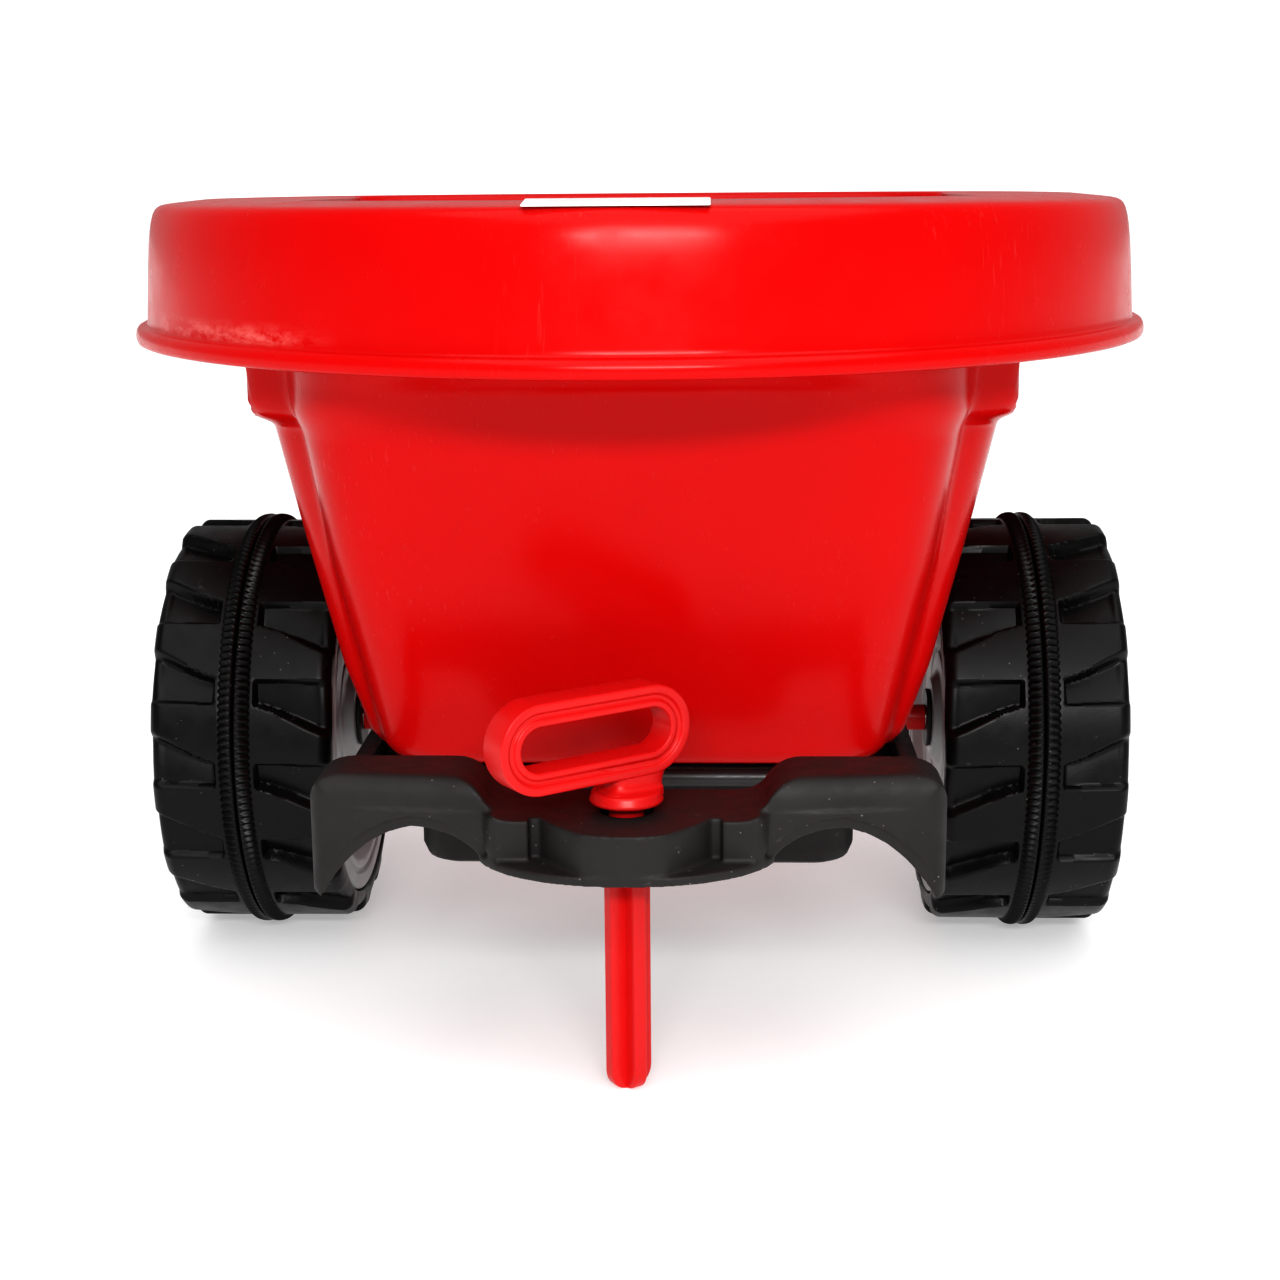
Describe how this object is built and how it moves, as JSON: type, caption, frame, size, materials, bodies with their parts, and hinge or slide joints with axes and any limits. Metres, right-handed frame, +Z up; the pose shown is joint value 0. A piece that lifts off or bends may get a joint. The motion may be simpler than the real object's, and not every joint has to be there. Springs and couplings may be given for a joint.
{
  "type": "tow-behind tipping trailer",
  "caption": "Child's ride-on tractor trailer: a moulded tub that tips on its axle, lugged wheels, a hitch beam and a loop-handled hitch pin.",
  "frame": {"origin": "middle of the trailer's length and width, on the ground", "axes": "+X across, to the right seen from the hitch, +Y from the hitch to the rear, +Z up"},
  "size_m": [0.458, 0.494, 0.3506],
  "materials": {
    "red_tub": "glossy moulded red plastic, lightly scratched",
    "red_pin": "satin moulded red plastic",
    "black_tread": "satin black moulded plastic",
    "black_chassis": "matt charcoal moulded plastic",
    "black_steel": "black painted steel",
    "grey_disc": "satin grey moulded plastic",
    "zinc_steel": "zinc plated steel",
    "label": "blank white sticker"
  },
  "bodies": {
    "chassis": {"axle_washer_left": "zinc_steel", "axle_cap_left": "zinc_steel", "axle_sleeve_left": "red_pin", "chassis_rail_left": "black_steel", "cross_bar_cap_left": "zinc_steel", "rail_screw_left_1": "zinc_steel", "ear_screw_left_1": "zinc_steel", "rail_screw_left_2": "zinc_steel", "ear_screw_left_2": "zinc_steel", "axle_washer_right": "zinc_steel", "axle_cap_right": "zinc_steel", "axle_sleeve_right": "red_pin", "chassis_rail_right": "black_steel", "cross_bar_cap_right": "zinc_steel", "rail_screw_right_1": "zinc_steel", "ear_screw_right_1": "zinc_steel", "rail_screw_right_2": "zinc_steel", "ear_screw_right_2": "zinc_steel", "axle": "zinc_steel", "chassis_box": "black_chassis", "cross_bar": "black_steel", "hitch_beam": "black_chassis"},
    "tub": {"tub": "red_tub", "tub_label": "label", "pivot_bracket_left": "black_chassis", "pivot_bracket_right": "black_chassis", "bracket_screw_left_1": "zinc_steel", "bracket_screw_left_2": "zinc_steel", "bracket_screw_right_1": "zinc_steel", "bracket_screw_right_2": "zinc_steel"},
    "wheel_left": {"wheel_left_tread_inner": "black_tread", "wheel_left_disc_inner": "grey_disc", "wheel_left_bush_inner": "black_chassis", "wheel_left_tread_outer": "black_tread", "wheel_left_disc_outer": "grey_disc", "wheel_left_bush_outer": "black_chassis"},
    "wheel_right": {"wheel_right_tread_inner": "black_tread", "wheel_right_disc_inner": "grey_disc", "wheel_right_bush_inner": "black_chassis", "wheel_right_tread_outer": "black_tread", "wheel_right_disc_outer": "grey_disc", "wheel_right_bush_outer": "black_chassis"},
    "pin": {"hitch_pin": "red_pin"}
  },
  "joints": [
    {"name": "wheel_left_spin", "type": "hinge", "parent": "chassis", "child": "wheel_left", "pos_m": [-0.18, 0.01, 0.1], "axis": [1, 0, 0], "continuous": true},
    {"name": "wheel_right_spin", "type": "hinge", "parent": "chassis", "child": "wheel_right", "pos_m": [0.18, 0.01, 0.1], "axis": [1, 0, 0], "continuous": true},
    {"name": "tub_tip", "type": "hinge", "parent": "chassis", "child": "tub", "pos_m": [0, 0.01, 0.1], "axis": [-1, 0, 0], "range_deg": [0, 50]},
    {"name": "pin_lift", "type": "slide", "parent": "chassis", "child": "pin", "axis": [0, 0, 1], "range_m": [0, 0.09]}
  ]
}
